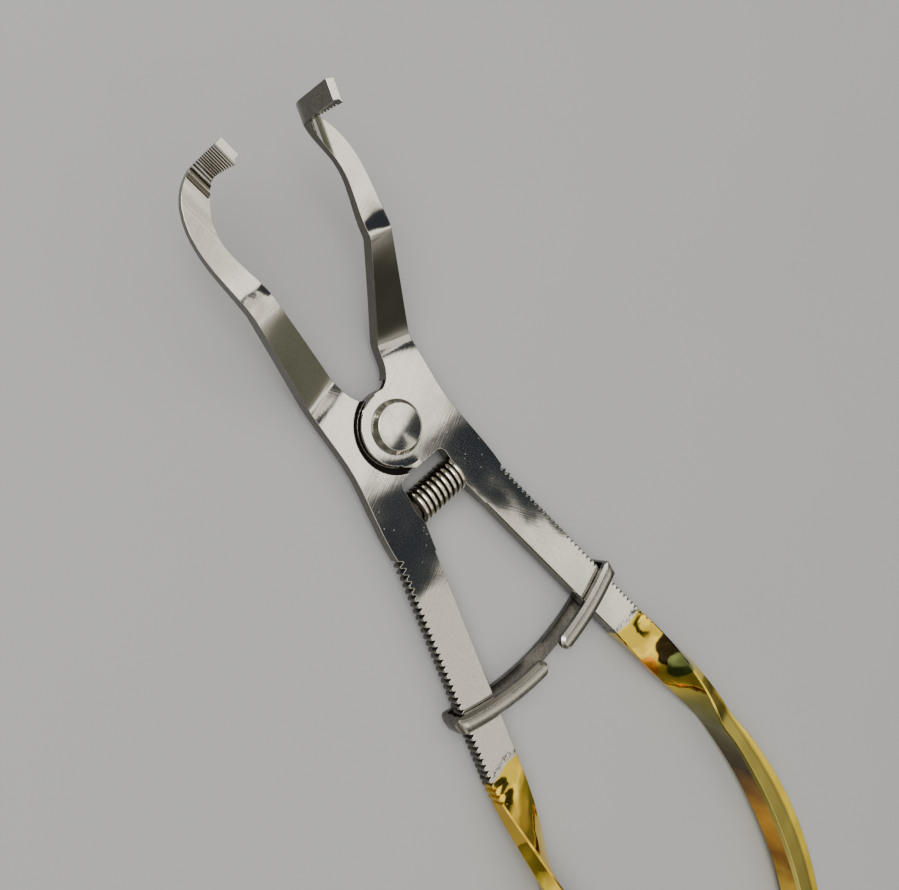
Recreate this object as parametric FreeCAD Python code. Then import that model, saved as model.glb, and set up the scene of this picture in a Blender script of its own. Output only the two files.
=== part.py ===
import FreeCAD, Part
import math
import os

# Sectional matrix pliers, lying flat, in millimetres.
# The origin is on the pivot axis in the plane that the pliers lie on.
# +X points to the jaw tips, +Z up through the joint. The left arm is at +Y.

Vec = FreeCAD.Vector

# Pivot joint: two half-lapped lobes on one rivet
arm_thickness = 2.0
lobe_radius = 5.72
recess_gap = 1.1
lap_clearance = 0.03
bore_clearance = 0.03
shank_radius = 2.0
head_radius = 4.0
front_head_height = 0.9
back_head_height = 1.8
head_bevel = 0.6
rim_bevel = 0.2
rim_start_angle = -152.0
rim_free_angle = 150.0
cut_margin = 1.0

# Joint plate, seen from the front
neck_length = 6.5
neck_corner_y = -0.9
neck_leave_angle = 28.0
jaw_meet_angle = 13.0
window_fillet = 1.2
spring_seat_y = 4.5
joint_half_width = 9.5
jaw_root_inner = (11.2, 4.5)
jaw_root_outer = (9.5, 9.6)

# Joggle between joint plate and jaw
joggle_rise = 7.7
joggle_low_x = 10.2
joggle_high_x = 24.1
low_crease_lean = 0.28
high_crease_lean = 0.05
bend_radius = 1.6

# Jaw strip and its upturned tip
jaw_width = 3.7
jaw_root_thickness = 1.75
jaw_thickness = 1.1
jaw_high_outer_y = 11.7
jaw_bow_x = 34.2
jaw_bow_outer_y = 12.7
jaw_bow_width = 2.95
tip_x = 40.8
tip_y = 7.95
tip_width = 2.5
tip_height = 10.5
tip_bend_radius = 4.0
tip_lean = 0.35
tip_turn = 14.0
groove_pitch = 0.72
groove_depth = 0.18
groove_height = 0.42
groove_top_margin = 1.3
groove_foot_margin = 1.0

# Toothed flat of each handle
handle_width = 6.5
handle_thickness = 2.6
handle_chamfer = 0.25
flat_start_x = -18.0
flat_end_x = -52.0
teeth_start_x = -15.2
teeth_start_y = 11.35
tooth_line_angle = 12.6
tooth_pitch = 1.06
tooth_depth = 0.72
tooth_tip_flat = 0.26
tooth_root_flat = 0.1
tooth_count = 39

# Twist and bowed grip
twist_start_x = -52.5
twist_end_x = -79.0
swell_start_x = -68.0
swell_end_x = -112.0
grip_end_x = -134.0
grip_end_round = 3.2
grip_height = 6.05
grip_thickness = 7.0
grip_inner_bevel = 0.55
grip_outer_bevel = 1.6
grip_foot = 0.15
twist_steps = 12
grip_steps = 9
grip_end_angles = (0, 18, 36, 54, 68, 80)
bow_start_x = -66.0
bow_end_x = -122.0
bow_radius = 272.0
bow_tightening = 4.17e-5

# Coil spring between the handles
spring_x = -11.3
spring_outer_radius = 2.7
spring_wire_radius = 0.42
spring_turns = 8.0
spring_wire_sides = 8
spring_turn_steps = 16
peg_clearance = 0.15
peg_length = 1.9
peg_shank_radius = 0.65
peg_shank_depth = 1.6

# Locking ring hooked over both toothed edges
ring_radius = 47.0
ring_middle_x = -44.7
ring_skew = -1.35
ring_width = 2.8
ring_half_angle = 35.0
ring_bevel = 0.5
ring_end_round = 1.3
ring_leg_thickness = 1.2
ring_hook_thickness = 1.3
ring_clearance = 0.15
ring_tooth_clearance = 0.2
ring_gap_width = 3.9
ring_gap_y = -0.9
ring_corner = 2.0
ring_slot_corner = 0.3

# Heights that follow from the sizes above
front_z = back_head_height + arm_thickness
back_z = back_head_height
lap_z = back_z + arm_thickness / 2
jaw_top_z = front_z + joggle_rise
tip_top_z = jaw_top_z + tip_height
tooth_slope = math.tan(math.radians(tooth_line_angle))
tip_along = Vec(math.cos(math.radians(tip_turn)), math.sin(math.radians(tip_turn)), 0)
tip_out = Vec(-tip_along.y, tip_along.x, 0)
tip_middle = Vec(tip_x, tip_y, 0)
tip_band_reach = 3 * jaw_width
groove_count = int((tip_height - groove_top_margin - groove_foot_margin) / groove_pitch) + 1


def line(a, b):
    return Part.LineSegment(Vec(a[0], a[1], 0), Vec(b[0], b[1], 0)).toShape()


def curve(points):
    spline = Part.BSplineCurve()
    spline.interpolate([Vec(x, y, 0) for x, y in points])
    return spline.toShape()


def plan_prism(edges, low, high):
    """Solid over a closed outline in the XY plane, from height low to height high."""
    face = Part.Face(Part.Wire(edges))
    face.translate(Vec(0, 0, low))
    return face.extrude(Vec(0, 0, high - low))


def corner_arc(before, corner, after, radius):
    """Arc that rounds one corner of a line of 3-D points."""
    back = (before - corner).normalize()
    ahead = (after - corner).normalize()
    half_angle = back.getAngle(ahead) / 2
    reach = radius / math.tan(half_angle)
    middle = (back + ahead).normalize() * (radius / math.sin(half_angle) - radius)
    return Part.Arc(corner + back * reach, corner + middle, corner + ahead * reach)


def rounded_path(points, radii):
    """Edges along a line of points, with each inner corner rounded by its radius."""
    edges = []
    start = points[0]
    for i, radius in enumerate(radii, 1):
        arc = corner_arc(points[i - 1], points[i], points[i + 1], radius)
        edges.append(Part.LineSegment(start, arc.StartPoint).toShape())
        edges.append(arc.toShape())
        start = arc.EndPoint
    edges.append(Part.LineSegment(start, points[-1]).toShape())
    return edges


def tooth_line_y(x):
    """Y of the tooth tips along the handle's outer edge."""
    return teeth_start_y + (teeth_start_x - x) * tooth_slope


def joggle_profile(y):
    """Side outline of the bent strip, cut at one Y."""
    low_x = joggle_low_x - (y - jaw_root_inner[1]) * low_crease_lean + 0.5 * jaw_width * low_crease_lean
    high_x = joggle_high_x - (y - jaw_root_outer[1]) * high_crease_lean
    slope_angle = math.atan2(joggle_rise, high_x - low_x)
    shift = math.tan(slope_angle / 2)
    top = [
        Vec(flat_start_x, y, front_z),
        Vec(low_x, y, front_z),
        Vec(high_x, y, jaw_top_z),
        Vec(jaw_bow_x, y, jaw_top_z),
    ]
    under = [
        Vec(jaw_bow_x, y, jaw_top_z - jaw_thickness),
        Vec(high_x + shift * jaw_root_thickness, y, jaw_top_z - jaw_root_thickness),
        Vec(low_x + shift * arm_thickness, y, back_z),
        Vec(flat_start_x, y, back_z),
    ]
    edges = rounded_path(top, [bend_radius, bend_radius + arm_thickness])
    edges.append(Part.LineSegment(top[-1], under[0]).toShape())
    edges += rounded_path(under, [bend_radius, bend_radius + arm_thickness])
    edges.append(Part.LineSegment(under[-1], top[0]).toShape())
    return Part.Wire(edges)


def bent_strip():
    """Joint plate, joggle and jaw as one wide bent strip."""
    outer = joggle_profile(joint_half_width + handle_width)
    inner = joggle_profile(-lobe_radius - recess_gap)
    return Part.makeLoft([outer, inner], True, True)


def tip_point(along, out):
    """Plan point beside the upturned tip, from its middle along and across the tip."""
    return tip_middle + tip_along * along + tip_out * out


def tip_profile():
    """Side outline of jaw end, bend and upturned tip, across the tip's outer face."""
    reach = jaw_width + tip_bend_radius + jaw_width
    bend_z = jaw_top_z + tip_bend_radius
    outer_radius = tip_bend_radius + jaw_thickness
    low_angle = math.radians(45)
    spots = [
        (reach, jaw_top_z),
        (tip_bend_radius, jaw_top_z),
        (tip_bend_radius * (1 - math.sin(low_angle)), bend_z - tip_bend_radius * math.cos(low_angle)),
        (0, bend_z),
        (tip_lean, tip_top_z),
        (tip_lean - jaw_thickness, tip_top_z),
        (-jaw_thickness, bend_z),
        (tip_bend_radius - outer_radius * math.sin(low_angle), bend_z - outer_radius * math.cos(low_angle)),
        (tip_bend_radius, jaw_top_z - jaw_thickness),
        (reach, jaw_top_z - jaw_thickness),
    ]
    p = [tip_point(-tip_band_reach, out) + Vec(0, 0, z) for out, z in spots]
    edges = [
        Part.LineSegment(p[0], p[1]).toShape(),
        Part.Arc(p[1], p[2], p[3]).toShape(),
        Part.LineSegment(p[3], p[4]).toShape(),
        Part.LineSegment(p[4], p[5]).toShape(),
        Part.LineSegment(p[5], p[6]).toShape(),
        Part.Arc(p[6], p[7], p[8]).toShape(),
        Part.LineSegment(p[8], p[9]).toShape(),
        Part.LineSegment(p[9], p[0]).toShape(),
    ]
    return Part.Wire(edges)


def front_outline():
    """Plan outline of joint plate and jaw, without the lobe."""
    plate_start = (flat_start_x, tooth_line_y(flat_start_x))
    plate_inner = (flat_start_x, tooth_line_y(flat_start_x) - handle_width)
    teeth_start = (teeth_start_x, teeth_start_y)
    teeth_lead = (teeth_start_x / 2, (teeth_start_y + joint_half_width) / 2)
    high_outer = (joggle_high_x, jaw_high_outer_y)
    high_inner = (joggle_high_x, jaw_high_outer_y - jaw_width)
    jaw_middle_x = (joggle_high_x + jaw_bow_x) / 2
    bow_inner_y = jaw_bow_outer_y - jaw_bow_width
    half_tip = tip_width / 2
    tip_outer = tip_point(half_tip, 0.2 * half_tip)
    tip_outer_end = tip_point(half_tip, -2 * jaw_thickness)
    tip_inner_end = tip_point(-half_tip, -2 * jaw_thickness)
    tip_inner = tip_point(-half_tip, 0)
    lobe_side = lobe_radius * math.cos(math.radians(jaw_meet_angle))
    lobe_side_y = lobe_radius * math.sin(math.radians(jaw_meet_angle))
    window_x = -neck_length
    seat_end_x = teeth_start_x + (teeth_start_y - handle_width - spring_seat_y) / tooth_slope
    fillet_middle = window_fillet * (1 - math.sqrt(0.5))
    return [
        line(plate_start, teeth_start),
        curve([
            teeth_start,
            teeth_lead,
            (-lobe_radius / 4, joint_half_width),
            (jaw_root_outer[0] / 2, joint_half_width),
            jaw_root_outer,
        ]),
        line(jaw_root_outer, high_outer),
        curve([
            high_outer,
            (jaw_middle_x, (jaw_high_outer_y + 2 * jaw_bow_outer_y) / 3),
            (jaw_bow_x, jaw_bow_outer_y),
            (jaw_bow_x + 1.3 * jaw_bow_width, jaw_bow_outer_y - 0.3 * jaw_bow_width),
            (tip_x - 0.3 * half_tip, tip_y + 1.9 * half_tip),
            (tip_outer.x, tip_outer.y),
        ]),
        line(tip_outer, tip_outer_end),
        line(tip_outer_end, tip_inner_end),
        line(tip_inner_end, tip_inner),
        curve([
            (tip_inner.x, tip_inner.y),
            (tip_x - 2 * half_tip, tip_y + 0.25 * half_tip),
            (tip_x - 4 * half_tip, tip_y + 1.1 * half_tip),
            (jaw_bow_x - 0.2 * jaw_bow_width, bow_inner_y),
            (jaw_middle_x, bow_inner_y - 0.25 * jaw_bow_width),
            high_inner,
        ]),
        line(high_inner, jaw_root_inner),
        curve([
            jaw_root_inner,
            (jaw_root_inner[0] - 0.6 * jaw_width, jaw_root_inner[1] - 0.15 * jaw_width),
            (lobe_radius + 0.35 * jaw_width, jaw_root_inner[1] - 0.35 * jaw_width),
            (lobe_side, lobe_side_y),
        ]),
        line((lobe_side, lobe_side_y), (window_x, lobe_side_y)),
        line((window_x, lobe_side_y), (window_x, spring_seat_y - window_fillet)),
        Part.Arc(
            Vec(window_x, spring_seat_y - window_fillet, 0),
            Vec(window_x - fillet_middle, spring_seat_y - fillet_middle, 0),
            Vec(window_x - window_fillet, spring_seat_y, 0),
        ).toShape(),
        line((window_x - window_fillet, spring_seat_y), (seat_end_x, spring_seat_y)),
        line((seat_end_x, spring_seat_y), plate_inner),
        line(plate_inner, plate_start),
    ]


def lobe(low, high):
    """Round lobe of one half-lap, with its straight neck on the handle side."""
    disc = Part.makeCylinder(lobe_radius, high - low, Vec(0, 0, low))
    leave_angle = math.radians(neck_leave_angle)
    leave = (-lobe_radius * math.cos(leave_angle), -lobe_radius * math.sin(leave_angle))
    neck_top = spring_seat_y - window_fillet
    corners = [leave, (-neck_length, neck_corner_y), (-neck_length, neck_top), (0, neck_top), (0, 0)]
    edges = [line(a, b) for a, b in zip(corners, corners[1:] + corners[:1])]
    return disc.fuse(plan_prism(edges, low, high))


def rim_cut(face_z, outward):
    """Bevel along the free rim of a lobe, on the face that points outward."""
    reach = rim_bevel + lap_clearance
    points = [
        Vec(lobe_radius - rim_bevel, 0, face_z),
        Vec(lobe_radius + reach, 0, face_z),
        Vec(lobe_radius + reach, 0, face_z - outward * (rim_bevel + reach)),
        Vec(lobe_radius - rim_bevel, 0, face_z),
    ]
    face = Part.Face(Part.makePolygon(points))
    ring = face.revolve(Vec(0, 0, 0), Vec(0, 0, 1), rim_free_angle)
    ring.rotate(Vec(0, 0, 0), Vec(0, 0, 1), rim_start_angle)
    return ring


def ramp(start, end, x):
    """Share of the way from start to end, held at 0 and 1 outside them."""
    return min(max((start - x) / (start - end), 0.0), 1.0)


def smooth_ramp(start, end, x):
    share = ramp(start, end, x)
    return share * share * (3 - 2 * share)


def handle_centre_y(x):
    """Middle of the handle in plan: straight along the teeth, then bowed back in, then straight."""
    run = bow_start_x - max(min(x, bow_start_x), bow_end_x)
    bow = run ** 2 / (2 * bow_radius) + bow_tightening * run ** 3
    bow_slope = run / bow_radius + 3 * bow_tightening * run ** 2
    bow += bow_slope * max(bow_end_x - x, 0.0)
    return tooth_line_y(x) - handle_width / 2 - bow


def handle_twist(x):
    return math.radians(90) * ramp(twist_start_x, twist_end_x, x)


def handle_depth(x):
    """Thickness of the handle across its broad faces."""
    if x > flat_end_x:
        share = (flat_start_x - x) / (flat_start_x - flat_end_x)
        return arm_thickness + share * (handle_thickness - arm_thickness)
    share = smooth_ramp(swell_start_x, swell_end_x, x)
    return handle_thickness + share * (grip_thickness - handle_thickness)


def handle_section(x, shrink=1.0):
    """Eight-sided section across the handle at one X, shrunk towards its middle."""
    depth = handle_depth(x)
    twist = handle_twist(x)
    breadth = handle_width + (grip_height - handle_width) * math.sin(twist)
    flat_low = front_z - depth
    lowest = flat_low + (grip_foot - flat_low) * math.sin(twist)
    middle_y = handle_centre_y(x)
    middle_z = lowest + (breadth * math.sin(twist) + depth * math.cos(twist)) / 2
    half_w = shrink * breadth / 2
    half_d = shrink * depth / 2
    swell = smooth_ramp(swell_start_x, swell_end_x, x)
    inner = shrink * (handle_chamfer + (grip_inner_bevel - handle_chamfer) * swell)
    outer = shrink * (handle_chamfer + (grip_outer_bevel - handle_chamfer) * swell)
    corners = [(1, 1, inner), (1, -1, outer), (-1, -1, outer), (-1, 1, outer)]
    points = []
    for side, face, bevel in corners:
        flank = (side * half_w, face * (half_d - bevel))
        front = (side * (half_w - bevel), face * half_d)
        points += [front, flank] if side == face else [flank, front]
    turned_points = []
    for w, d in points:
        y = middle_y + w * math.cos(twist) - d * math.sin(twist)
        z = middle_z + w * math.sin(twist) + d * math.cos(twist)
        turned_points.append(Vec(x, y, z))
    return Part.makePolygon(turned_points + turned_points[:1])


def spread(start, end, count):
    return [start + (end - start) * i / count for i in range(count + 1)]


def handle():
    """Toothed flat, quarter twist and bowed grip of one handle."""
    flat = Part.makeLoft([handle_section(flat_start_x), handle_section(flat_end_x)], True, True)
    twist_stations = spread(flat_end_x, twist_end_x, twist_steps)
    grip_end = grip_end_x + grip_end_round
    grip_stations = spread(twist_end_x, grip_end, grip_steps)
    grip = Part.makeLoft([handle_section(x) for x in twist_stations + grip_stations[1:]], True, False)
    end_sections = []
    for degrees in grip_end_angles:
        angle = math.radians(degrees)
        x = grip_end - grip_end_round * math.sin(angle)
        end_sections.append(handle_section(x, math.cos(angle)))
    end = Part.makeLoft(end_sections, True, True)
    return flat.fuse([grip, end])


def tooth_notches():
    """All notches between the teeth of one handle, as one compound."""
    along = Vec(-math.cos(math.radians(tooth_line_angle)), math.sin(math.radians(tooth_line_angle)), 0)
    inward = Vec(-along.y, along.x, 0)
    start = Vec(teeth_start_x, teeth_start_y, 0)
    mouth = tooth_pitch - tooth_tip_flat
    flank = (mouth - tooth_root_flat) / 2
    above = tooth_depth / 2
    spread_above = above * flank / tooth_depth
    low = front_z - handle_thickness - tooth_pitch
    notches = []
    for i in range(tooth_count):
        base = start + along * (i * tooth_pitch)
        points = [
            base - along * spread_above - inward * above,
            base + along * flank + inward * tooth_depth,
            base + along * (flank + tooth_root_flat) + inward * tooth_depth,
            base + along * (mouth + spread_above) - inward * above,
        ]
        corners = [(p.x, p.y) for p in points]
        edges = [line(a, b) for a, b in zip(corners, corners[1:] + corners[:1])]
        notches.append(plan_prism(edges, low, front_z + tooth_pitch))
    return Part.makeCompound(notches)


def front_part():
    """Joint plate, joggle and jaw of one arm, cut from the bent strip by the plan outline."""
    outline = plan_prism(front_outline(), 0, tip_top_z)
    root = bent_strip().common(outline)
    band = Part.Face(tip_profile()).extrude(tip_along * (2 * tip_band_reach))
    room = 8 * jaw_width
    past_joggle = Part.makeBox(room, room, 2 * tip_top_z,
                               Vec(joggle_high_x + jaw_root_thickness, -room / 2, 0))
    jaw = band.common(past_joggle).common(outline)
    return root.fuse(jaw)


def tip_grooves():
    """Fine level grooves across the outer face of the upturned tip."""
    grooves = []
    for i in range(groove_count):
        z = tip_top_z - groove_top_margin - groove_pitch * i
        drop = max(jaw_top_z + tip_bend_radius - z, 0.0)
        lean = tip_lean * max(z - jaw_top_z - tip_bend_radius, 0.0) / (tip_height - tip_bend_radius)
        face_out = lean + tip_bend_radius - math.sqrt(tip_bend_radius ** 2 - drop ** 2)
        height = Vec(0, 0, groove_height)
        left = tip_point(-tip_width, face_out) + Vec(0, 0, z)
        points = [
            left - tip_out * groove_depth,
            left + tip_out * groove_depth + height,
            left + tip_out * groove_depth - height,
        ]
        face = Part.Face(Part.makePolygon(points + points[:1]))
        grooves.append(face.extrude(tip_along * (2 * tip_width)))
    return Part.makeCompound(grooves)


def peg_bore():
    """Blind hole for the spring peg's shank in the handle's inner edge."""
    middle = Vec(spring_x, spring_seat_y, (front_z + back_z) / 2)
    return Part.makeCylinder(peg_shank_radius, peg_shank_depth, middle, Vec(0, 1, 0))


def arm(lobe_low, lobe_high, recess_low, recess_high, bore_radius, rim_z, outward):
    """One arm in one piece, drawn on the +Y side."""
    body = front_part().fuse(handle())
    body = body.cut([tooth_notches(), tip_grooves(), peg_bore()])
    depth = recess_high - recess_low
    recess = Part.makeCylinder(lobe_radius + recess_gap, depth, Vec(0, 0, recess_low))
    bore = Part.makeCylinder(bore_radius, tip_top_z)
    body = body.cut(recess).fuse(lobe(lobe_low, lobe_high))
    return body.cut([bore, rim_cut(rim_z, outward)]).removeSplitter()


def arm_left():
    half_gap = lap_clearance / 2
    return arm(back_z, lap_z - half_gap, lap_z - half_gap, front_z + cut_margin,
               shank_radius, back_z, -1)


def arm_right():
    half_gap = lap_clearance / 2
    body = arm(lap_z + half_gap, front_z, back_z - cut_margin, lap_z + half_gap,
               shank_radius + bore_clearance, front_z, 1)
    return body.mirror(Vec(0, 0, 0), Vec(0, 1, 0))


def pivot_rivet():
    """Rivet with a bevelled flat head against each face of the joint."""
    top_z = front_z + lap_clearance + front_head_height
    under_front = front_z + lap_clearance
    points = [
        (0, 0),
        (head_radius - head_bevel, 0),
        (head_radius, head_bevel),
        (head_radius, back_z),
        (shank_radius, back_z),
        (shank_radius, under_front),
        (head_radius, under_front),
        (head_radius, top_z - head_bevel),
        (head_radius - head_bevel, top_z),
        (0, top_z),
    ]
    ring = [Vec(r, 0, z) for r, z in points]
    return Part.Face(Part.makePolygon(ring + ring[:1])).revolve(Vec(0, 0, 0), Vec(0, 0, 1), 360)


def wire_section(turn, length):
    """Eight-sided section of the spring wire after so many turns."""
    coil_radius = spring_outer_radius - spring_wire_radius
    angle = 2 * math.pi * turn
    out = Vec(math.cos(angle), 0, math.sin(angle))
    middle = Vec(spring_x, length * (turn / spring_turns - 0.5), (front_z + back_z) / 2) + out * coil_radius
    points = []
    for i in range(spring_wire_sides):
        around = 2 * math.pi * i / spring_wire_sides
        shift = out * math.cos(around) + Vec(0, math.sin(around), 0)
        points.append(middle + shift * spring_wire_radius)
    return Part.makePolygon(points + points[:1])


def coil_spring():
    """Compression spring between the inner edges of the handles."""
    length = 2 * (spring_seat_y - spring_wire_radius)
    count = round(spring_turns * spring_turn_steps)
    turns = spread(0, spring_turns, count)
    return Part.makeLoft([wire_section(turn, length) for turn in turns], True, True)


def spring_peg(side):
    """Stub that centres one end of the spring, with its shank in the handle."""
    middle_z = (front_z + back_z) / 2
    peg_radius = spring_outer_radius - 2 * spring_wire_radius - peg_clearance
    seat = Vec(spring_x, side * spring_seat_y, middle_z)
    stub = Part.makeCylinder(peg_radius, peg_length, seat, Vec(0, -side, 0))
    shank = Part.makeCylinder(peg_shank_radius, peg_shank_depth, seat, Vec(0, side, 0))
    return stub.fuse(shank).removeSplitter()


def edges_along(shape, axis):
    """Straight edges of a shape that run along one axis."""
    nearly = 0.9
    return [e for e in shape.Edges if abs(e.tangentAt(e.FirstParameter).dot(axis)) > nearly]


def rounded_side(half_y, low, high, radius):
    """Rounded rectangle in the YZ plane, carried through the ring along X."""
    depth = 2 * ring_radius
    block = Part.makeBox(depth, 2 * half_y, high - low, Vec(-depth, -half_y, low))
    return block.makeFillet(radius, edges_along(block, Vec(1, 0, 0)))


def ring_band(top):
    """Bevelled band on a large arc, as high as the whole ring."""
    inner_r = ring_radius - ring_width / 2
    outer_r = ring_radius + ring_width / 2
    b = ring_bevel
    profile = [(inner_r + b, 0), (outer_r - b, 0), (outer_r, b), (outer_r, top - b),
               (outer_r - b, top), (inner_r + b, top), (inner_r, top - b), (inner_r, b)]
    points = [Vec(-r, 0, z) for r, z in profile]
    section = Part.Face(Part.makePolygon(points + points[:1]))
    section.rotate(Vec(0, 0, 0), Vec(0, 0, 1), -ring_half_angle)
    return section.revolve(Vec(0, 0, 0), Vec(0, 0, 1), 2 * ring_half_angle)


def ring_plan(half_y, top):
    """Plan of the ring carried upwards, with its outer corners rounded."""
    outer = Part.makeCylinder(ring_radius + ring_width / 2, top)
    inner = Part.makeCylinder(ring_radius - ring_width / 2, top)
    side = Part.makeBox(2 * ring_radius, 2 * half_y, top, Vec(-2 * ring_radius, -half_y, 0))
    plan = outer.cut(inner).common(side)
    return plan.makeFillet(ring_end_round, edges_along(plan, Vec(0, 0, 1)))


def slide_ring():
    """C-shaped ring: bar behind both handles, a hook round each toothed edge, two front legs."""
    centre_x = ring_middle_x + ring_radius
    far_x = ring_middle_x - ring_width / 2
    slot_low = front_z - handle_depth(far_x) - ring_clearance
    slot_high = front_z + ring_clearance
    top = slot_high + ring_leg_thickness
    arc_reach = tooth_line_y(ring_middle_x)
    hook_x = centre_x - math.sqrt((ring_radius + ring_width / 2) ** 2 - arc_reach ** 2)
    hook_y = tooth_line_y(hook_x) + ring_tooth_clearance
    half_y = hook_y + ring_hook_thickness
    ring = ring_band(top).common(rounded_side(half_y, 0, top, ring_corner))
    ring = ring.common(ring_plan(half_y, top))
    ring = ring.cut(rounded_side(hook_y, slot_low, slot_high, ring_slot_corner))
    half_gap = (ring_gap_width + ring_width) / 2
    gap = Part.makeBox(2 * ring_radius, 2 * half_gap, ring_leg_thickness + cut_margin,
                       Vec(-2 * ring_radius, ring_gap_y - half_gap, slot_high))
    ring = ring.cut(gap)
    for side in (-1, 1):
        end_y = ring_gap_y + side * half_gap
        end_x = -math.sqrt(ring_radius ** 2 - end_y ** 2)
        leg_end = Part.makeCylinder(ring_width / 2, ring_leg_thickness, Vec(end_x, end_y, slot_high))
        mid_z = slot_high + ring_leg_thickness / 2
        rim = [e for e in leg_end.Edges if e.Closed and e.CenterOfMass.z > mid_z]
        ring = ring.fuse(leg_end.makeChamfer(ring_bevel, rim))
    ring = ring.removeSplitter()
    ring.rotate(Vec(-ring_radius, 0, 0), Vec(0, 0, 1), ring_skew)
    ring.translate(Vec(centre_x, 0, 0))
    return ring


def build():
    return {
        "arm_left": arm_left(),
        "arm_right": arm_right(),
        "pivot_rivet": pivot_rivet(),
        "coil_spring": coil_spring(),
        "spring_peg_left": spring_peg(1),
        "spring_peg_right": spring_peg(-1),
        "slide_ring": slide_ring(),
    }


count_tolerance = 0.05
os.makedirs("parts", exist_ok=True)
for name, shape in build().items():
    solids = len(shape.Solids)
    triangles = len(shape.tessellate(count_tolerance)[1])
    box = shape.BoundBox
    print(name, solids, shape.isValid(), round(shape.Volume, 2), triangles,
          [round(v, 2) for v in (box.XMin, box.XMax, box.YMin, box.YMax, box.ZMin, box.ZMax)])
    shape.exportStep("parts/" + name + ".step")
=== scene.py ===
import math
import bpy
import numpy as np
from mathutils import Matrix, Vector


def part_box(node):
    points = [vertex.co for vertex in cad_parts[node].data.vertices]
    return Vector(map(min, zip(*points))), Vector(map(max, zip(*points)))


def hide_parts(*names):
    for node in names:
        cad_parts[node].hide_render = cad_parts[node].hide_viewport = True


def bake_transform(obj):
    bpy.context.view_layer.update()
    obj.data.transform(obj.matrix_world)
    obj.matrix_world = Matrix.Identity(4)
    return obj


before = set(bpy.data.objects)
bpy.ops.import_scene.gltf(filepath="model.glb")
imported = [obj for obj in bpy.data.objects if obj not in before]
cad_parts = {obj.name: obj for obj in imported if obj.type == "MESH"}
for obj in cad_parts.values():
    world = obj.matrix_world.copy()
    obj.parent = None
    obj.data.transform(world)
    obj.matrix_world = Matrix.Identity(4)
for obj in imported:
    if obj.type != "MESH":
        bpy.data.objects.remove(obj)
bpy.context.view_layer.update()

bl_info = {
    "name": "Sectional matrix pliers",
    "version": (1, 0, 0),
    "blender": (4, 5, 0),
    "location": "3D View > Sidebar > Pliers",
    "description": "Polished steel, gold grips and coil spring of sectional matrix pliers",
    "category": "Object",
}

MM = 0.001

# Places on the pliers in millimetres, as the CAD model has them

UPPER_CREASE_X = 25.48
UPPER_CREASE_LEAN = 0.05
UPPER_BEND_ARC = 1.69
LOWER_CREASE_X = 11.58
LOWER_CREASE_LEAN = 0.28
LOWER_BEND_ARC = 0.75
LOBE_FLAT_RADIUS = 4.4
LOBE_RADIUS = 5.8
LOBE_TOP_Z = (3.0, 3.5)
RECESS_RADII = (5.75, 6.85)
RECESS_HEIGHTS = (1.0, 3.6)
TIP_FOOT_Z = (12.6, 13.2)
TOP_GROOVE_Z = 20.7
GROOVE_PITCH = 0.72
GRIP_START_X = (-68.0, -74.0)
BOW_START_X = -66.0
BOW_LENGTH = 60.0
SPRING_AXIS_X = -11.3
SPRING_AXIS_Z = 2.8
RING_MIDDLE_X = 2.287
RING_MIDDLE_Y = -1.107
RING_RADIUS = 47.0
RING_LEG_Z = (4.2, 4.9)

# Colours of grime, of painted shade and highlights, and of what the gold mirrors as painted
# reflections, with red, green and blue from 0 to 1

HAIRLINE = (0.34, 0.32, 0.29)
PIT = (0.06, 0.055, 0.05)
WALL_SHADE_DARK = (0.11, 0.102, 0.092)
WALL_SHADE_PALE = (0.18, 0.168, 0.15)
SHADED_SLOPE = (0.10, 0.094, 0.085)
TIP_STEEL = (0.86, 0.82, 0.75)
GROOVE_DARK_STRIPE = (0.13, 0.11, 0.085)
RECESS_GRIME_AND_SHADE = (0.012, 0.011, 0.010)
SOOT = (0.03, 0.024, 0.018)
GOLD_DEEP = (0.80, 0.52, 0.07)
GOLD_WALL_SHADE = (0.36, 0.21, 0.03)
GOLD_TOP_REFLECTION = (0.34, 0.285, 0.06)
GOLD_BROWN_BAND_REFLECTION = (0.22, 0.12, 0.02)
GOLD_EDGE_HIGHLIGHT = (0.92, 0.68, 0.06)
GOLD_BEVEL_HIGHLIGHT = (1.0, 0.84, 0.25)
RIVET_WALL_SHADE = (0.08, 0.072, 0.065)
PEG_DARK = (0.03, 0.026, 0.022)
PEG_PALE = (0.07, 0.062, 0.053)
WIRE_PALE = (0.80, 0.745, 0.66)
WIRE_DULL = (0.60, 0.55, 0.48)
WIRE_SHADE = (0.03, 0.025, 0.02)
RING_SPECK = (0.30, 0.285, 0.26)
RING_LEG_HIGHLIGHT = (0.62, 0.59, 0.54)
RING_CREST_HIGHLIGHT = (0.66, 0.63, 0.585)
RING_RUBBED = (0.13, 0.12, 0.11)

# Stops of the painted reflections along the inside of the bow, from the twist to the grip's end
BOW_REFLECTIONS = (
    (0.0, (0.62, 0.50, 0.12)), (0.12, (0.30, 0.27, 0.06)), (0.25, (0.13, 0.13, 0.03)),
    (0.42, (0.05, 0.028, 0.010)), (0.54, (0.30, 0.14, 0.018)), (0.66, (0.85, 0.42, 0.03)),
    (0.80, (0.30, 0.14, 0.02)), (0.92, (0.85, 0.55, 0.08)))

# Middle, half width and colour of each painted reflection that the right arm's twist mirrors
TWIST_REFLECTIONS = (
    ((-61.2, -19.6), (3.4, 2.4), (0.03, 0.02, 0.008)),
    ((-64.6, -19.6), (2.6, 1.9), (0.16, 0.19, 0.06)),
    ((-62.3, -15.4), (2.8, 1.5), (0.95, 0.36, 0.03)))

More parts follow.
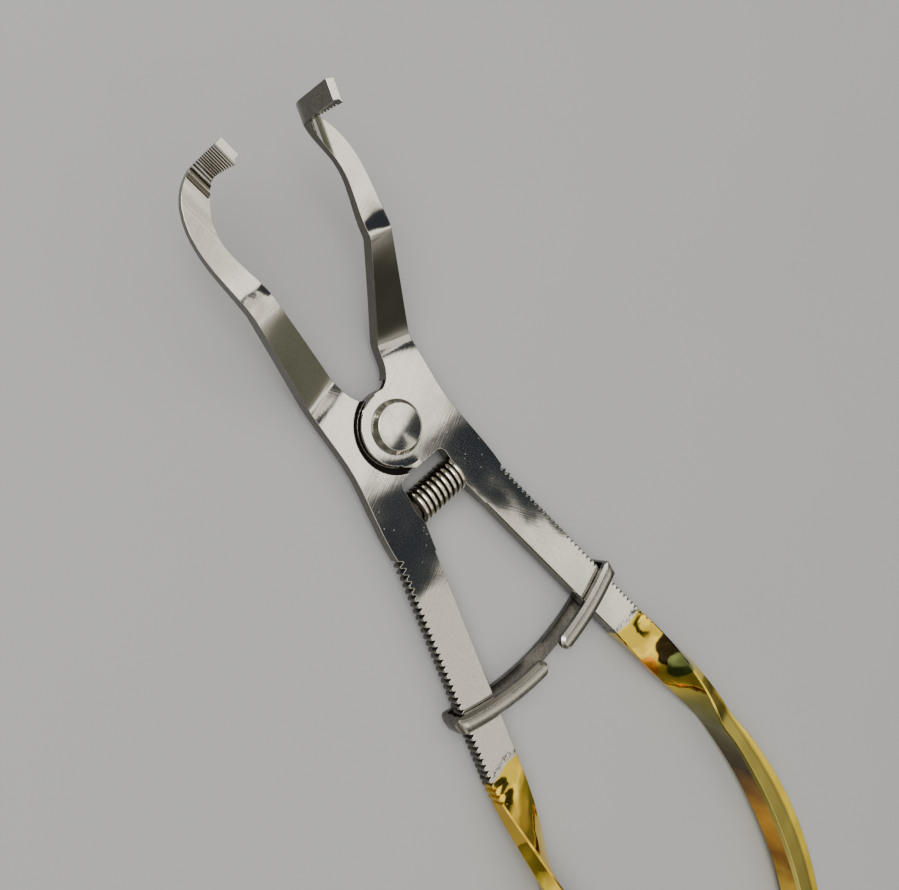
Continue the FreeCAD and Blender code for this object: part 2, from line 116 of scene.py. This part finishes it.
# Slopes of the dark beam's edges on the ceiling
BEAM_TILT = 0.138
BEAM_NEAR = (-0.385, -0.425)
BEAM_LEFT_FAR = (-0.560, -0.546)
BEAM_LEFT_SIDE = (-0.50, -0.48)
BEAM_RIGHT_SLANT = 0.54
BEAM_RIGHT_REACH = 0.301
BEAM_RIGHT_SIDE = (-0.68, -0.62)
BEAM_COLOUR = (0.034, 0.040, 0.047)


# Shader maths

class Value:
    """One shader socket. Arithmetic on it adds the Math nodes that work it out."""

    def __init__(self, shader, socket):
        self.shader = shader
        self.socket = socket

    def maths(self, operation, *others):
        sockets = {i: other for i, other in enumerate((self,) + others)}
        return self.shader.node("ShaderNodeMath", {"operation": operation}, sockets)

    def __add__(self, other):
        return self.maths("ADD", other)

    def __sub__(self, other):
        return self.maths("SUBTRACT", other)

    def __mul__(self, other):
        return self.maths("MULTIPLY", other)

    def __truediv__(self, other):
        return self.maths("DIVIDE", other)

    def __rsub__(self, other):
        return self.shader.node("ShaderNodeMath", {"operation": "SUBTRACT"}, {0: other, 1: self})

    def __neg__(self):
        return 0.0 - self

    def __abs__(self):
        return self.maths("ABSOLUTE")

    __radd__ = __add__
    __rmul__ = __mul__

    def at_least(self, other):
        return self.maths("MAXIMUM", other)

    def at_most(self, other):
        return self.maths("MINIMUM", other)

    def step(self, low, high):
        """Smooth step from 0 at low to 1 at high, also where low is the greater."""
        flip = low > high
        low, high = sorted((low, high))
        ends = {"To Min": 1.0, "To Max": 0.0} if flip else {"To Min": 0.0, "To Max": 1.0}
        inputs = {"Value": self, "From Min": low, "From Max": high, **ends}
        return self.shader.node("ShaderNodeMapRange", {"interpolation_type": "SMOOTHSTEP"}, inputs)

    def band(self, low, high, edge):
        """One between low and high, falling to zero over the edge width outside."""
        return self.step(low - edge, low + edge) * self.step(high + edge, high - edge)


class Shader:
    """Node tree of one material or of the world, built from expressions."""

    def __init__(self, owner):
        owner.use_nodes = True
        self.tree = owner.node_tree
        self.tree.nodes.clear()

    def node(self, kind, settings=None, inputs=None, output=0):
        made = self.tree.nodes.new(kind)
        for key, value in (settings or {}).items():
            if key == "stops":
                self.set_stops(made.color_ramp, value)
            else:
                setattr(made, key, value)
        for key, value in (inputs or {}).items():
            if isinstance(value, Value):
                self.tree.links.new(value.socket, made.inputs[key])
            else:
                made.inputs[key].default_value = value
        return Value(self, made.outputs[output]) if made.outputs else made

    @staticmethod
    def set_stops(ramp, stops):
        while len(ramp.elements) < len(stops):
            ramp.elements.new(1.0)
        for element, (place, colour) in zip(ramp.elements, stops):
            element.position = place
            element.color = (*colour, 1.0)

    def mix(self, share, a, b):
        """Colour a where share is 0, colour b where it is 1."""
        a, b = (v if isinstance(v, Value) else (*v, 1.0) for v in (a, b))
        return self.node("ShaderNodeMix", {"data_type": "RGBA"}, {0: share, 6: a, 7: b}, 2)

    def scaled(self, vector, factors):
        return self.node("ShaderNodeVectorMath", {"operation": "MULTIPLY"}, {0: vector, 1: factors})

    def turned(self, vector, degrees):
        """The pattern's coordinates turned about Z."""
        return self.node("ShaderNodeMapping", None,
                         {"Vector": vector, "Rotation": (0.0, 0.0, math.radians(degrees))})

    def split(self, vector):
        parts = self.tree.nodes.new("ShaderNodeSeparateXYZ")
        self.tree.links.new(vector.socket, parts.inputs[0])
        return [Value(self, out) for out in parts.outputs]

    def millimetres(self):
        """Object coordinates in millimetres."""
        place = self.node("ShaderNodeTexCoord", output="Object")
        inputs = {0: place, "Scale": 1 / MM}
        return self.node("ShaderNodeVectorMath", {"operation": "SCALE"}, inputs)

    def facing(self):
        """The three parts of the surface's direction in the object's own axes."""
        return self.split(self.node("ShaderNodeTexCoord", output="Normal"))

    def upright(self):
        """How far the surface faces up or down: 1 on level faces, 0 on side walls."""
        return abs(self.facing()[2])

    def noise(self, vector, scale, detail=2.0, roughness=0.5):
        inputs = {"Vector": vector, "Scale": scale, "Detail": detail, "Roughness": roughness}
        return self.node("ShaderNodeTexNoise", None, inputs)

    def spots(self, vector, scale):
        """Distance to the nearest of many scattered points, in cells."""
        return self.node("ShaderNodeTexVoronoi", None, {"Vector": vector, "Scale": scale})

    def ramp(self, share, stops):
        """Colour along a list of (place, colour) stops."""
        return self.node("ShaderNodeValToRGB", {"stops": stops}, {0: share})


def new_material(name):
    material = bpy.data.materials.new(name)
    return material, Shader(material)


def shade(colour, factor):
    return tuple(c * factor for c in colour)


def distance(a, b):
    """Length of the diagonal from two sides."""
    return (a * a + b * b).maths("SQRT")


def finish_metal(shader, colour, roughness, relief, edge_round):
    """Metal surface from a colour, a roughness and a relief in millimetres."""
    rounded = shader.node("ShaderNodeBevel", {"samples": 6}, {"Radius": edge_round})
    bumped = shader.node("ShaderNodeBump", None,
                         {"Height": relief, "Distance": MM, "Strength": 1.0, "Normal": rounded})
    surface = shader.node("ShaderNodeBsdfPrincipled", None, {
        "Base Color": colour, "Metallic": 1.0, "Roughness": roughness, "Normal": bumped})
    shader.node("ShaderNodeOutputMaterial", None, {"Surface": surface})


def eased_bend(s, arc, before, after, reach, settle):
    """Relief that spreads one sharp bend of the strip over a longer stretch.

    s is 0 where the bend's arc begins and grows on the level side. The relief's slope is
    before * exp(-s / reach) there, falls evenly to -after through the arc, and dies away
    beyond it within the length settle."""
    level = s.at_least(0.0)
    within = s.at_least(-arc).at_most(0.0)
    beyond = (-s - arc).at_least(0.0)
    level_part = (1.0 - (-level / reach).maths("EXPONENT")) * reach * before
    arc_part = within * before + within * within * ((before + after) / (2 * arc))
    far_part = (1.0 - (-beyond / settle).maths("EXPONENT")) * (after * settle)
    return level_part + arc_part + far_part


# Sizes and colours a user would change

class PlierSizes(bpy.types.PropertyGroup):
    gold_start: bpy.props.FloatProperty(
        name="Gold start", description="Where the gold plating begins along the handles",
        default=-51.8 * MM, unit="LENGTH", precision=4)
    edge_round: bpy.props.FloatProperty(
        name="Edge rounding", description="Radius of the polished rounding on sharp edges",
        default=0.12 * MM, unit="LENGTH", precision=5)
    wire_radius: bpy.props.FloatProperty(
        name="Wire radius", description="Radius of the spring wire",
        default=0.42 * MM, unit="LENGTH", precision=5)
    coil_turns: bpy.props.FloatProperty(
        name="Coil turns", description="Turns of the spring from end to end", default=8.5)
    closed_pitch: bpy.props.FloatProperty(
        name="Closed pitch", description="Pitch of the two end coils, which lie against each other",
        default=0.86 * MM, unit="LENGTH", precision=5)


class PlierColours(bpy.types.PropertyGroup):
    steel: bpy.props.FloatVectorProperty(
        name="Steel", description="Polished steel", default=(0.80, 0.775, 0.73),
        subtype="COLOR", size=3, min=0.0, max=1.0)
    ring_steel: bpy.props.FloatVectorProperty(
        name="Ring steel", description="Satin steel of the slide ring",
        default=(0.12, 0.115, 0.108),
        subtype="COLOR", size=3, min=0.0, max=1.0)
    gold: bpy.props.FloatVectorProperty(
        name="Gold", description="Gold plating of the grips", default=(0.92, 0.68, 0.08),
        subtype="COLOR", size=3, min=0.0, max=1.0)
    floor: bpy.props.FloatVectorProperty(
        name="Floor", description="Plain floor", default=(0.385, 0.395, 0.415),
        subtype="COLOR", size=3, min=0.0, max=1.0)


# Finishes

def arm_material(sizes, colours):
    """Hand-polished steel that turns to bright gold plating behind the toothed flat."""
    material, shader = new_material("polished_arm")
    place = shader.millimetres()
    x, y, z = shader.split(place)
    out = abs(y)
    upright = shader.upright()
    level = upright.step(0.35, 0.8)

    ragged = shader.noise(place, 0.3, 0.0) * 1.6 + shader.noise(place, 3.0, 3.0, 0.6) * 0.45
    boundary = x + ragged - 1.02
    start = sizes.gold_start / MM
    gold_share = boundary.step(start + 0.15, start - 0.15)
    plated = x.step(start + 2.0, start - 2.0)
    soot = shader.noise(place, 1.7, 5.0, 0.75).step(0.47, 0.56)
    soot_share = boundary.band(start + 0.3, start + 1.2, 0.5) * soot

    along = shader.scaled(place, (0.1, 1.0, 1.0))
    across = shader.scaled(shader.turned(place, 62.0), (0.08, 1.0, 1.0))
    slant = shader.scaled(shader.turned(place, -38.0), (0.06, 1.0, 1.0))
    patch = shader.noise(place, 0.16, 2.0).step(0.42, 0.58)
    polish = shader.noise(along, 4.5, 5.0, 0.75)
    wheel = shader.noise(across, 3.4, 6.0, 0.75)
    rub = shader.noise(slant, 5.0, 5.0, 0.8)
    streaks = polish * (1.0 - patch) * 0.6 + wheel * patch * 0.6 + rub * 0.4
    hairs = shader.noise(slant, 1.6, 7.0, 0.85).step(0.62, 0.66) * patch
    brushed = shader.noise(across, 4.2, 0.6) * 0.6 + shader.noise(slant, 4.6, 0.6) * 0.4
    dents = shader.noise(place, 0.9, 0.5)
    waves = shader.noise(place, 0.2, 0.0)

    steel = shader.mix(streaks.step(0.42, 0.62), tuple(colours.steel), shade(colours.steel, 0.84))
    steel = shader.mix(hairs * 0.3, steel, HAIRLINE)
    pits = shader.spots(place, 1.1).step(0.11, 0.05) * shader.noise(place, 0.35).step(0.5, 0.6)
    steel = shader.mix(pits * 0.8, steel, PIT)
    # Side walls take a dark colour streaked like the polish: painted shade.
    wall_shade = shader.mix(streaks.step(0.4, 0.6), WALL_SHADE_DARK, WALL_SHADE_PALE)
    steel = shader.mix(level, wall_shade, steel)
    side = y / out
    way_x, way_y, _ = shader.facing()
    slope = (-way_x).step(0.25, 0.42) * level
    steel = shader.mix(slope * side.step(0.5, -0.5) * 0.8, steel, SHADED_SLOPE)
    grooved = (way_y * side).step(0.4, 0.7) * z.step(*TIP_FOOT_Z)
    groove = ((TOP_GROOVE_Z - z) / GROOVE_PITCH + 0.5).maths("FRACT") - 0.5
    steel = shader.mix(grooved, steel, TIP_STEEL)
    # Darker stripe along each groove of the tip.
    steel = shader.mix(grooved * abs(groove).step(0.36, 0.22), steel, GROOVE_DARK_STRIPE)
    radius = distance(x, y)
    recess = radius.band(*RECESS_RADII, 0.06) * z.band(*RECESS_HEIGHTS, 0.1)
    # Near-black painted shade, with some grime, in the recess ring around the lobe.
    steel = shader.mix(recess, steel, RECESS_GRIME_AND_SHADE)

    tarnish = shader.noise(shader.scaled(place, (0.5, 1.0, 1.0)), 0.22, 3.0)
    gold = gold_colour(shader, colours, place, upright, tarnish)
    colour = shader.mix(gold_share, steel, gold)
    colour = shader.mix(soot_share * 0.92, colour, SOOT)

    dull = (1.0 - level) * 0.2 + recess * 0.4
    rough_steel = 0.05 + streaks.step(0.35, 0.7) * 0.02 + dull
    rough_gold = 0.045 + tarnish * 0.05
    roughness = rough_steel * (1.0 - gold_share) + rough_gold * gold_share + soot_share * 0.3

    wobble = shader.noise(place, 0.2, 0.0) * 1.2 - 0.6
    past_upper = x + out * UPPER_CREASE_LEAN - UPPER_CREASE_X + wobble
    past_lower = LOWER_CREASE_X - out * LOWER_CREASE_LEAN - x + wobble * 0.6
    upper = eased_bend(past_upper, UPPER_BEND_ARC, before=0.215, after=0.14, reach=3.6, settle=1.1)
    lower = eased_bend(past_lower, LOWER_BEND_ARC, before=0.135, after=0.176, reach=1.6, settle=0.9)
    rim = radius.at_least(LOBE_FLAT_RADIUS).at_most(LOBE_RADIUS) - LOBE_FLAT_RADIUS
    lobe_rim = rim * rim * y.step(-0.5, 1.5) * z.step(*LOBE_TOP_Z)
    plain = 1.0 - plated * 0.9
    relief = (brushed * 0.0017 + dents * 0.0015) * plain + waves * 0.05 - pits * 0.006
    relief = relief + upper * level - lower * level - lobe_rim * 0.024
    finish_metal(shader, colour, roughness, relief, sizes.edge_round)
    return material


def grip_middle(x):
    """How far out the middle line of a grip's upper face lies, in millimetres.

    It is 22.78 + 0.0541 t - 0.005235 t^2 + 0.0000576 t^3, where t = x + 100."""
    t = x + 100.0
    return 22.78 + t * 0.0541 - t * t * 0.005235 + t * t * t * 0.0000576


def gold_colour(shader, colours, place, upright, tarnish):
    """Gold plating with painted light: olive reflections, a brown band and a bright edge on the
    grips' upper faces, highlights on the bevels, shaded walls, reflections from dark to orange
    inside the bow, and patches on the twist.
    """
    x, y, _ = shader.split(place)
    out = abs(y)
    inward = shader.facing()[1] * y / out * -1.0
    gold = shader.mix(tarnish.step(0.4, 0.65), tuple(colours.gold), GOLD_DEEP)
    # Gold side walls darkened: painted shade.
    gold = shader.mix(upright.step(0.7, 0.25) * 0.45, gold, GOLD_WALL_SHADE)
    grip = x.step(*GRIP_START_X)
    drift = shader.noise(place, 0.3, 2.0) * 9.0 - 4.5
    run = (BOW_START_X - x + drift) / BOW_LENGTH
    inside = shader.ramp(run, BOW_REFLECTIONS)
    # Painted reflections along the inside of the bow.
    gold = shader.mix(inward.step(0.55, 0.85) * grip, gold, inside)
    # Upper faces of the grips: olive and brown painted reflections, with a painted highlight along
    # the outer edge.
    gold = shader.mix(upright.step(0.85, 0.97) * grip, gold, GOLD_TOP_REFLECTION)
    outer = (out - grip_middle(x) + drift * 0.03) * upright.step(0.85, 0.97) * grip
    gold = shader.mix(outer.band(0.15, 0.45, 0.25) * 0.6, gold, GOLD_BROWN_BAND_REFLECTION)
    gold = shader.mix(outer.step(0.5, 1.15), gold, GOLD_EDGE_HIGHLIGHT)
    # Painted highlight on the grips' bevels.
    gold = shader.mix(upright.band(0.55, 0.82, 0.08) * grip, gold, GOLD_BEVEL_HIGHLIGHT)
    edge = shader.noise(place, 0.5, 2.0) * 1.2 - 0.6
    # Painted reflections on the right arm's twist.
    for (middle_x, middle_y), (half_x, half_y), mirrored in TWIST_REFLECTIONS:
        across = (x - middle_x + edge) / half_x
        beside = (y - middle_y + edge) / half_y
        patch = (across * across + beside * beside).step(1.15, 0.85)
        gold = shader.mix(patch, gold, mirrored)
    return gold


def rivet_material(sizes, colours):
    """Slightly crowned faced steel with faint turning rings about the pivot axis."""
    material, shader = new_material("rivet_steel")
    place = shader.millimetres()
    x, y, _ = shader.split(place)
    level = shader.upright().step(0.35, 0.85)
    radius = distance(x, y)
    rings = (radius * 18.0).maths("SINE")
    wear = shader.noise(place, 1.1, 4.0, 0.6)
    colour = shader.mix(wear.step(0.4, 0.7), tuple(colours.steel), shade(colours.steel, 0.8))
    # Side wall of the rivet darkened: painted shade.
    colour = shader.mix(level, RIVET_WALL_SHADE, colour)
    roughness = 0.06 + wear * 0.07 + (1.0 - level) * 0.12
    relief = rings * 0.0002 + wear * 0.003 - radius * radius * 0.0125
    finish_metal(shader, colour, roughness, relief, sizes.edge_round)
    return material


def peg_material(sizes):
    """Dark unpolished steel of the stubs inside the spring."""
    material, shader = new_material("peg_steel")
    place = shader.millimetres()
    grain = shader.noise(place, 3.0, 4.0, 0.6)
    colour = shader.mix(grain.step(0.4, 0.6), PEG_DARK, PEG_PALE)
    finish_metal(shader, colour, 0.4 + grain * 0.2, grain * 0.004, sizes.edge_round)
    return material


def spring_material(sizes):
    """Drawn spring wire, with painted shade where the turns face each other and on the coil's inner
    side.
    """
    material, shader = new_material("spring_steel")
    place = shader.millimetres()
    x, _, z = shader.split(place)
    depth = distance(x - SPRING_AXIS_X, z - SPRING_AXIS_Z)
    between = abs(shader.facing()[1]).step(0.5, 0.85)
    valley = depth.step(2.55, 2.2).at_least(between)
    drawn = shader.noise(shader.scaled(place, (1.0, 6.0, 1.0)), 2.0, 4.0, 0.6)
    colour = shader.mix(drawn.step(0.35, 0.65), WIRE_PALE, WIRE_DULL)
    colour = shader.mix(valley * 0.93, colour, WIRE_SHADE)
    finish_metal(shader, colour, 0.1 + drawn * 0.1 + valley * 0.2, drawn * 0.003, sizes.edge_round)
    return material


def ring_material(sizes, colours):
    """Dark satin steel: bar and walls stay dark, with painted highlights on the crowned legs' tops
    and on the crests.
    """
    material, shader = new_material("ring_steel")
    place = shader.millimetres()
    x, y, z = shader.split(place)
    upright = shader.upright()
    crest = upright.band(0.5, 0.85, 0.1)
    from_middle = distance(x - RING_MIDDLE_X, y - RING_MIDDLE_Y)
    across = from_middle - RING_RADIUS
    turn = y.maths("ARCTAN2", x) * 30.0
    polar = shader.node("ShaderNodeCombineXYZ", None,
                        {0: from_middle * 4.0, 1: turn * 0.25, 2: z * 4.0})
    rub = shader.noise(polar, 1.6, 5.0, 0.7)
    wear = shader.noise(place, 0.5, 4.0, 0.6)
    speckle = shader.noise(place, 4.0, 4.0, 0.7)
    dark = tuple(colours.ring_steel)
    colour = shader.mix(wear.step(0.4, 0.65), dark, shade(dark, 1.5))
    colour = shader.mix(speckle.step(0.5, 0.62) * 0.5, colour, RING_SPECK)
    legs = z.step(*RING_LEG_Z) * upright.step(0.8, 0.95)
    # Painted highlights on the crowned legs' tops and on the crests.
    colour = shader.mix(legs * across.band(-0.5, 0.25, 0.25), colour, RING_LEG_HIGHLIGHT)
    colour = shader.mix(crest * (0.55 + wear * 0.4), colour, RING_CREST_HIGHLIGHT)
    colour = shader.mix(rub.step(0.52, 0.7) * 0.3, colour, RING_RUBBED)
    roughness = 0.22 + rub * 0.12 - crest * 0.06 - legs * 0.05
    relief = rub * 0.003 + speckle * 0.002 - across * across * 0.14 * legs
    finish_metal(shader, colour, roughness, relief, sizes.edge_round)
    return material


# Geometry

def shade_by_angle(degrees):
    """Node group that smooths a mesh except across edges sharper than the angle."""
    group = bpy.data.node_groups.new("smooth_by_angle", "GeometryNodeTree")
    group.interface.new_socket("Geometry", in_out="INPUT", socket_type="NodeSocketGeometry")
    group.interface.new_socket("Geometry", in_out="OUTPUT", socket_type="NodeSocketGeometry")
    start = group.nodes.new("NodeGroupInput")
    end = group.nodes.new("NodeGroupOutput")
    angle = group.nodes.new("GeometryNodeInputMeshEdgeAngle")
    sharp = group.nodes.new("FunctionNodeCompare")
    sharp.operation = "GREATER_THAN"
    sharp.inputs[1].default_value = math.radians(degrees)
    faces = group.nodes.new("GeometryNodeSetShadeSmooth")
    edges = group.nodes.new("GeometryNodeSetShadeSmooth")
    edges.domain = "EDGE"
    edges.inputs["Shade Smooth"].default_value = False
    group.links.new(start.outputs[0], faces.inputs[0])
    group.links.new(faces.outputs[0], edges.inputs[0])
    group.links.new(angle.outputs[0], sharp.inputs[0])
    group.links.new(sharp.outputs[0], edges.inputs["Selection"])
    group.links.new(edges.outputs[0], end.inputs[0])
    return group


def dress(name, material, group):
    """Gives a CAD node its finish, closes its loose triangles and smooths its curved faces."""
    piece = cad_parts[name]
    piece.data.materials.clear()
    piece.data.materials.append(material)
    weld = piece.modifiers.new("weld", "WELD")
    weld.merge_threshold = 1e-6
    smooth = piece.modifiers.new("smooth", "NODES")
    smooth.node_group = group
    weighted = piece.modifiers.new("weighted", "WEIGHTED_NORMAL")
    weighted.keep_sharp = True
    weighted.weight = 100
    return piece


def new_piece(name, points, faces, material):
    mesh = bpy.data.meshes.new(name)
    mesh.from_pydata(points.tolist(), [], faces)
    mesh.materials.append(material)
    mesh.shade_smooth()
    piece = bpy.data.objects.new(name, mesh)
    bpy.context.collection.objects.link(piece)
    return piece


def spring_wire(sizes, box, steps_per_turn=44, sides=16):
    """Round wire swept on a helix whose pitch is closed over the end coils.

    The wire's middle is c + R (cos 2 pi t, 0, sin 2 pi t) + y(t), and y(t) is the
    running sum of the pitch, which eases from closed to open and back to closed."""
    low, high = (np.array(corner) for corner in box)
    middle = (low + high) / 2
    wire = sizes.wire_radius
    radius = (high[0] - low[0]) / 2 - wire
    t = np.linspace(0.0, sizes.coil_turns, int(sizes.coil_turns * steps_per_turn) + 1)
    from_end = np.minimum(t, sizes.coil_turns - t)
    ease = np.clip((from_end - 0.8) / 0.5, 0.0, 1.0)
    ease = ease * ease * (3 - 2 * ease)
    run = high[1] - low[1] - 2 * wire
    weight = np.gradient(t)
    closed = sizes.closed_pitch * weight.sum()
    opened = (run - closed) / (ease * weight).sum()
    pitch = sizes.closed_pitch + opened * ease
    rise = np.concatenate([[0.0], np.cumsum((pitch[1:] + pitch[:-1]) / 2 * np.diff(t))])
    rise *= run / rise[-1]
    angle = 2 * np.pi * t
    out = np.stack([np.cos(angle), 0 * angle, np.sin(angle)], axis=1)
    centre = middle + out * radius + np.stack([0 * rise, rise - run / 2, 0 * rise], axis=1)
    around = np.linspace(0.0, 2 * np.pi, sides, endpoint=False)
    side = np.array([0.0, 1.0, 0.0])
    shape = out[:, None] * np.cos(around)[None, :, None] + side * np.sin(around)[None, :, None]
    points = (centre[:, None] + shape * wire).reshape(-1, 3)
    row = np.arange(len(t) - 1)[:, None] * sides
    here = np.arange(sides)[None, :]
    following = (here + 1) % sides
    ahead = row + sides
    quads = np.stack([row + here, ahead + here, ahead + following, row + following], axis=-1)
    faces = quads.reshape(-1, 4).tolist()
    last = (len(t) - 1) * sides
    faces.append(list(range(sides)))
    faces.append([last + i for i in reversed(range(sides))])
    return points, faces


# Operators

class MadeFromFrame:
    bl_options = {"REGISTER", "UNDO"}

    def settings(self, context):
        return context.scene.plier_sizes, context.scene.plier_colours


class PLIERS_OT_arms(MadeFromFrame, bpy.types.Operator):
    """Gives both arms their polished steel and gold"""
    bl_idname = "pliers.arms"
    bl_label = "Arms"

    def execute(self, context):
        sizes, colours = self.settings(context)
        material = arm_material(sizes, colours)
        group = shade_by_angle(30)
        for name in ("arm_left", "arm_right"):
            dress(name, material, group)
        return {"FINISHED"}


class PLIERS_OT_joint(MadeFromFrame, bpy.types.Operator):
    """Gives the rivet and the spring pegs their turned steel"""
    bl_idname = "pliers.joint"
    bl_label = "Rivet and pegs"

    def execute(self, context):
        sizes, colours = self.settings(context)
        group = shade_by_angle(30)
        dress("pivot_rivet", rivet_material(sizes, colours), group)
        pegs = peg_material(sizes)
        for name in ("spring_peg_left", "spring_peg_right"):
            dress(name, pegs, group)
        return {"FINISHED"}


class PLIERS_OT_spring(MadeFromFrame, bpy.types.Operator):
    """Winds the round-wire spring between the handles"""
    bl_idname = "pliers.spring"
    bl_label = "Spring"

    def execute(self, context):
        sizes, colours = self.settings(context)
        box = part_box("coil_spring")
        points, faces = spring_wire(sizes, box)
        spring = new_piece("wound_spring", points, faces, spring_material(sizes))
        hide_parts("coil_spring")
        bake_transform(spring)
        return {"FINISHED"}


class PLIERS_OT_ring(MadeFromFrame, bpy.types.Operator):
    """Gives the slide ring its satin steel"""
    bl_idname = "pliers.ring"
    bl_label = "Slide ring"

    def execute(self, context):
        sizes, colours = self.settings(context)
        dress("slide_ring", ring_material(sizes, colours), shade_by_angle(30))
        return {"FINISHED"}


class PLIERS_OT_stage(MadeFromFrame, bpy.types.Operator):
    """Sets the floor, the room's light and the camera"""
    bl_idname = "pliers.stage"
    bl_label = "Stage"

    def execute(self, context):
        sizes, colours = self.settings(context)
        add_floor(tuple(colours.floor))
        light_room(context.scene)
        add_lamp("key_lamp", place=(0.55, 0.35, 0.9), size=0.9, power=9.0)
        add_camera(context.scene)
        return {"FINISHED"}


def add_floor(colour):
    """Wide plain floor just under the pliers."""
    mesh = bpy.data.meshes.new("floor")
    size = 6.0
    corners = [(-size, -size, 0.0), (size, -size, 0.0), (size, size, 0.0), (-size, size, 0.0)]
    mesh.from_pydata(corners, [], [(0, 1, 2, 3)])
    floor = bpy.data.objects.new("floor", mesh)
    bpy.context.collection.objects.link(floor)
    material, shader = new_material("floor")
    grain = shader.noise(shader.millimetres(), 0.02, 3.0)
    tint = shader.mix(grain, shade(colour, 0.97), shade(colour, 1.03))
    surface = shader.node("ShaderNodeBsdfPrincipled", None,
                          {"Base Color": tint, "Roughness": 0.75, "Specular IOR Level": 0.2})
    shader.node("ShaderNodeOutputMaterial", None, {"Surface": surface})
    mesh.materials.append(material)


def light_room(scene):
    """Bright ceiling over a dim room, with one dark beam across the ceiling.

    A place on the ceiling is named by the slopes u = dx/dz and w = dy/dz of its direction."""
    world = bpy.data.worlds.new("room")
    scene.world = world
    shader = Shader(world)
    direction = shader.node("ShaderNodeTexCoord", output="Generated")
    dx, dy, dz = shader.split(direction)
    high = dz.at_least(0.02)
    u = dx / high
    w = dy / high
    ceiling = dz.step(0.44, 0.72)
    along = u + w * BEAM_TILT
    past_slant = w - u * BEAM_RIGHT_SLANT + BEAM_RIGHT_REACH
    left = along.step(*BEAM_LEFT_FAR) * w.step(*BEAM_LEFT_SIDE)
    right = past_slant.step(0.006, -0.006) * u.step(*BEAM_RIGHT_SIDE)
    beam = along.step(*BEAM_NEAR) * left.at_least(right) * w.band(-0.9, -0.1, 0.1)
    dim = shader.ramp(shader.noise(direction, 2.4, 1.5), (
        (0.36, (0.09, 0.093, 0.065)), (0.46, (0.13, 0.133, 0.095)),
        (0.56, (0.17, 0.17, 0.13)), (0.70, (0.40, 0.36, 0.28))))
    clouds = shader.noise(direction, 3.4, 2.0).step(0.38, 0.62)
    bright = shader.mix(clouds, (1.75, 1.67, 1.5), (0.92, 0.87, 0.75))
    colour = shader.mix(ceiling, dim, bright)
    colour = shader.mix(beam, colour, BEAM_COLOUR)
    light = shader.node("ShaderNodeBackground", None, {"Color": colour, "Strength": 1.0})
    plain = shader.node("ShaderNodeBackground", None,
                        {"Color": (0.45, 0.45, 0.44, 1.0), "Strength": 1.0})
    seen = shader.node("ShaderNodeLightPath", output="Is Camera Ray")
    both = shader.node("ShaderNodeMixShader", None, {0: seen, 1: light, 2: plain})
    shader.node("ShaderNodeOutputWorld", None, {"Surface": both})


def add_lamp(name, place, size, power):
    lamp = bpy.data.lights.new(name, "AREA")
    lamp.shape = "DISK"
    lamp.size = size
    lamp.energy = power
    lamp.color = (1.0, 0.98, 0.94)
    holder = bpy.data.objects.new(name, lamp)
    holder.location = place
    holder.rotation_euler = (-Vector(place)).to_track_quat("-Z", "Y").to_euler()
    bpy.context.collection.objects.link(holder)


def add_camera(scene):
    """Camera at the photograph's viewing angle, measured from the pliers' own outline."""
    camera = bpy.data.cameras.new("camera")
    camera.lens = 35.52
    camera.sensor_width = 36.0
    camera.sensor_fit = "HORIZONTAL"
    camera.clip_start = 0.005
    camera.clip_end = 20.0
    holder = bpy.data.objects.new("camera", camera)
    right = Vector((-0.51050786, -0.66530915, 0.54491125))
    up = Vector((0.80378635, -0.59451645, 0.02715702))
    back = Vector((0.30589088, 0.4518561, 0.83805383))
    place = Vector((0.032388, 0.053023, 0.112445))
    turn = Matrix((right, up, back)).transposed().to_4x4()
    holder.matrix_world = Matrix.Translation(place) @ turn
    bpy.context.collection.objects.link(holder)
    scene.camera = holder


class PLIERS_PT_panel(bpy.types.Panel):
    """Lists the pieces of the pliers with their sizes and colours"""
    bl_label = "Sectional matrix pliers"
    bl_space_type = "VIEW_3D"
    bl_region_type = "UI"
    bl_category = "Pliers"

    def draw(self, context):
        for group in (context.scene.plier_sizes, context.scene.plier_colours):
            for name in group.__annotations__:
                self.layout.prop(group, name)
        for operator in OPERATORS:
            self.layout.operator(operator.bl_idname)


OPERATORS = (PLIERS_OT_stage, PLIERS_OT_arms, PLIERS_OT_joint, PLIERS_OT_spring, PLIERS_OT_ring)
CLASSES = (PlierSizes, PlierColours) + OPERATORS + (PLIERS_PT_panel,)


def register():
    for cls in CLASSES:
        bpy.utils.register_class(cls)
    bpy.types.Scene.plier_sizes = bpy.props.PointerProperty(type=PlierSizes)
    bpy.types.Scene.plier_colours = bpy.props.PointerProperty(type=PlierColours)


def unregister():
    del bpy.types.Scene.plier_colours
    del bpy.types.Scene.plier_sizes
    for cls in reversed(CLASSES):
        bpy.utils.unregister_class(cls)


def main():
    register()
    bpy.ops.pliers.stage()
    bpy.ops.pliers.arms()
    bpy.ops.pliers.joint()
    bpy.ops.pliers.spring()
    bpy.ops.pliers.ring()


if __name__ == "__main__":
    main()
